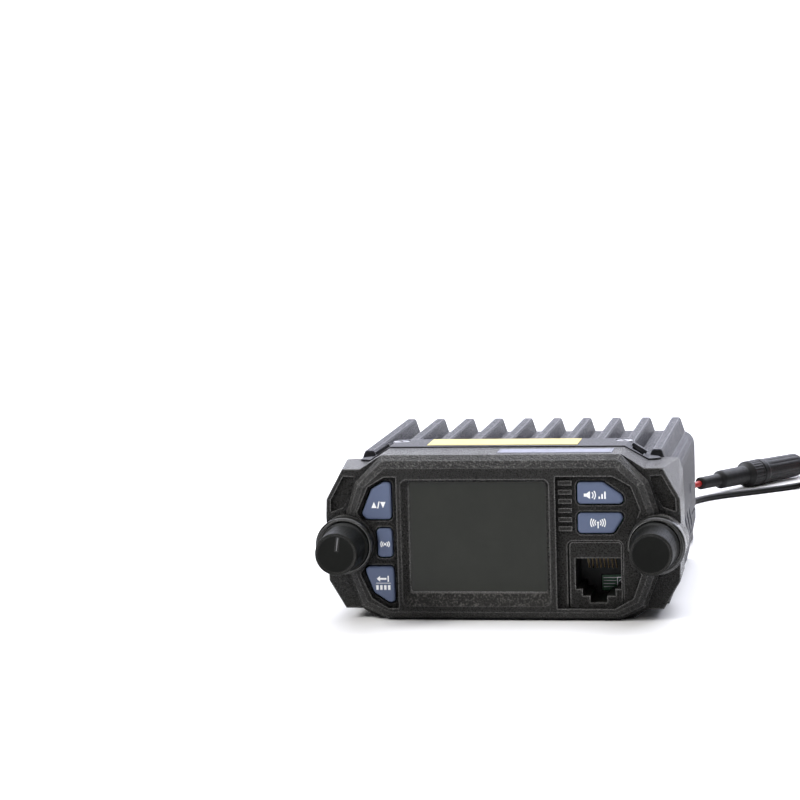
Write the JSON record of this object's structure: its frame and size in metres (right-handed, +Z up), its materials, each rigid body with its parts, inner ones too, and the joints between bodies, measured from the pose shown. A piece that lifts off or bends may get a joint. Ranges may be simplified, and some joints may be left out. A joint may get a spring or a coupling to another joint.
{
  "type": "mobile transceiver",
  "caption": "Compact two-way vehicle radio: finned cast case, moulded front panel with display, keys and knobs, rear antenna socket, and a fused two-wire supply lead wound up behind it.",
  "frame": {"origin": "under the middle of the radio, between its knob faces and its antenna socket, on the surface it stands on (the supply leads left out)", "axes": "+X to the right of the control panel seen from the front, -Y the way the panel faces, +Z up"},
  "size_m": [0.1609, 0.3086, 0.0443],
  "materials": {
    "cast_metal": "textured powder coat",
    "sheet_steel": "matte coat",
    "trim_metal": "satin coat",
    "label_cream": "satin film",
    "silver_plate": "brushed",
    "shell_plastic": "coarse moulded texture",
    "collar_plastic": "satin",
    "window_glass": "smoked, glossy",
    "display_metal": "satin",
    "white_plastic": "satin",
    "board_green": "solder mask",
    "switch_black": "matte",
    "control_metal": "plated",
    "jack_black": "satin",
    "contact_gold": "plated",
    "ribbon_film": "satin film",
    "can_tin": "tinned",
    "speaker_steel": "satin",
    "cone_black": "pressed paper",
    "magnet_grey": "matte",
    "socket_chrome": "nickel plate",
    "rubber_black": "matte",
    "screw_black": "blackened",
    "shaft_steel": "turned",
    "knob_plastic": "satin soft-touch",
    "key_plastic": "satin",
    "lead_red": "satin insulation",
    "lead_black": "satin insulation",
    "holder_plastic": "satin",
    "fuse_glass": "clear",
    "terminal_tin": "tinned",
    "tie_nylon": "satin"
  },
  "bodies": {
    "case": {"heat_sink_case": "cast_metal", "rear_panel": "cast_metal", "bottom_cover": "sheet_steel", "top_trim": "trim_metal", "label_plate": "label_cream", "name_plate": "silver_plate", "front_shell": "shell_plastic", "knob_collars": "collar_plastic", "display_window": "window_glass", "display_module": "display_metal", "display_holder": "white_plastic", "front_board": "board_green", "key_switches": "switch_black", "volume_control": "control_metal", "channel_control": "control_metal", "mic_jack": "jack_black", "mic_jack_contacts": "contact_gold", "mic_jack_board": "board_green", "ribbon_cable": "ribbon_film", "main_board": "board_green", "screening_can": "can_tin", "power_transistors": "switch_black", "speaker_frame": "speaker_steel", "speaker_cone": "cone_black", "speaker_magnet": "magnet_grey", "antenna_socket": "socket_chrome", "antenna_insulator": "white_plastic", "antenna_contact": "contact_gold", "fan_frame": "jack_black", "speaker_jack": "socket_chrome", "lead_grommet": "rubber_black", "trim_screws": "screw_black", "cover_screws": "screw_black", "rear_screws": "screw_black", "front_screws": "screw_black", "front_board_screws": "screw_black", "main_board_screws": "screw_black", "red_lead": "lead_red", "black_lead": "lead_black", "red_lead_coil": "lead_red", "black_lead_coil": "lead_black", "fuse_holder_body": "holder_plastic", "fuse_holder_cap": "holder_plastic", "fuse": "fuse_glass", "ring_terminals": "terminal_tin", "coil_ties": "tie_nylon"},
    "volume_push_body": {"volume_plunger": "white_plastic"},
    "volume_knob_body": {"volume_shaft": "shaft_steel", "volume_knob": "knob_plastic"},
    "channel_push_body": {"channel_plunger": "white_plastic"},
    "channel_knob_body": {"channel_shaft": "shaft_steel", "channel_knob": "knob_plastic"},
    "upper_left_key_body": {"upper_left_key": "key_plastic"},
    "middle_left_key_body": {"middle_left_key": "key_plastic"},
    "lower_left_key_body": {"lower_left_key": "key_plastic"},
    "upper_right_key_body": {"upper_right_key": "key_plastic"},
    "lower_right_key_body": {"lower_right_key": "key_plastic"},
    "fan_rotor_body": {"fan_rotor": "jack_black"}
  },
  "joints": [
    {"name": "volume_push", "type": "slide", "parent": "case", "child": "volume_push_body", "axis": [0, 1, 0], "range_m": [0, 0.0005], "stiffness_N_per_m": 1500},
    {"name": "volume_turn", "type": "hinge", "parent": "volume_push_body", "child": "volume_knob_body", "pos_m": [-0.0406, -0.054, 0.0206], "axis": [0, 1, 0], "range_deg": [-150, 150]},
    {"name": "channel_push", "type": "slide", "parent": "case", "child": "channel_push_body", "axis": [0, 1, 0], "range_m": [0, 0.0005], "stiffness_N_per_m": 1500},
    {"name": "channel_turn", "type": "hinge", "parent": "channel_push_body", "child": "channel_knob_body", "pos_m": [0.0406, -0.054, 0.0206], "axis": [0, 1, 0], "continuous": true},
    {"name": "upper_left_key_press", "type": "slide", "parent": "case", "child": "upper_left_key_body", "axis": [0, 1, 0], "range_m": [0, 0.0008], "stiffness_N_per_m": 400},
    {"name": "middle_left_key_press", "type": "slide", "parent": "case", "child": "middle_left_key_body", "axis": [0, 1, 0], "range_m": [0, 0.0008], "stiffness_N_per_m": 400},
    {"name": "lower_left_key_press", "type": "slide", "parent": "case", "child": "lower_left_key_body", "axis": [0, 1, 0], "range_m": [0, 0.0008], "stiffness_N_per_m": 400},
    {"name": "upper_right_key_press", "type": "slide", "parent": "case", "child": "upper_right_key_body", "axis": [0, 1, 0], "range_m": [0, 0.0008], "stiffness_N_per_m": 400},
    {"name": "lower_right_key_press", "type": "slide", "parent": "case", "child": "lower_right_key_body", "axis": [0, 1, 0], "range_m": [0, 0.0008], "stiffness_N_per_m": 400},
    {"name": "fan_spin", "type": "hinge", "parent": "case", "child": "fan_rotor_body", "pos_m": [0.002, 0.043, 0.0185], "axis": [0, 1, 0], "continuous": true}
  ]
}
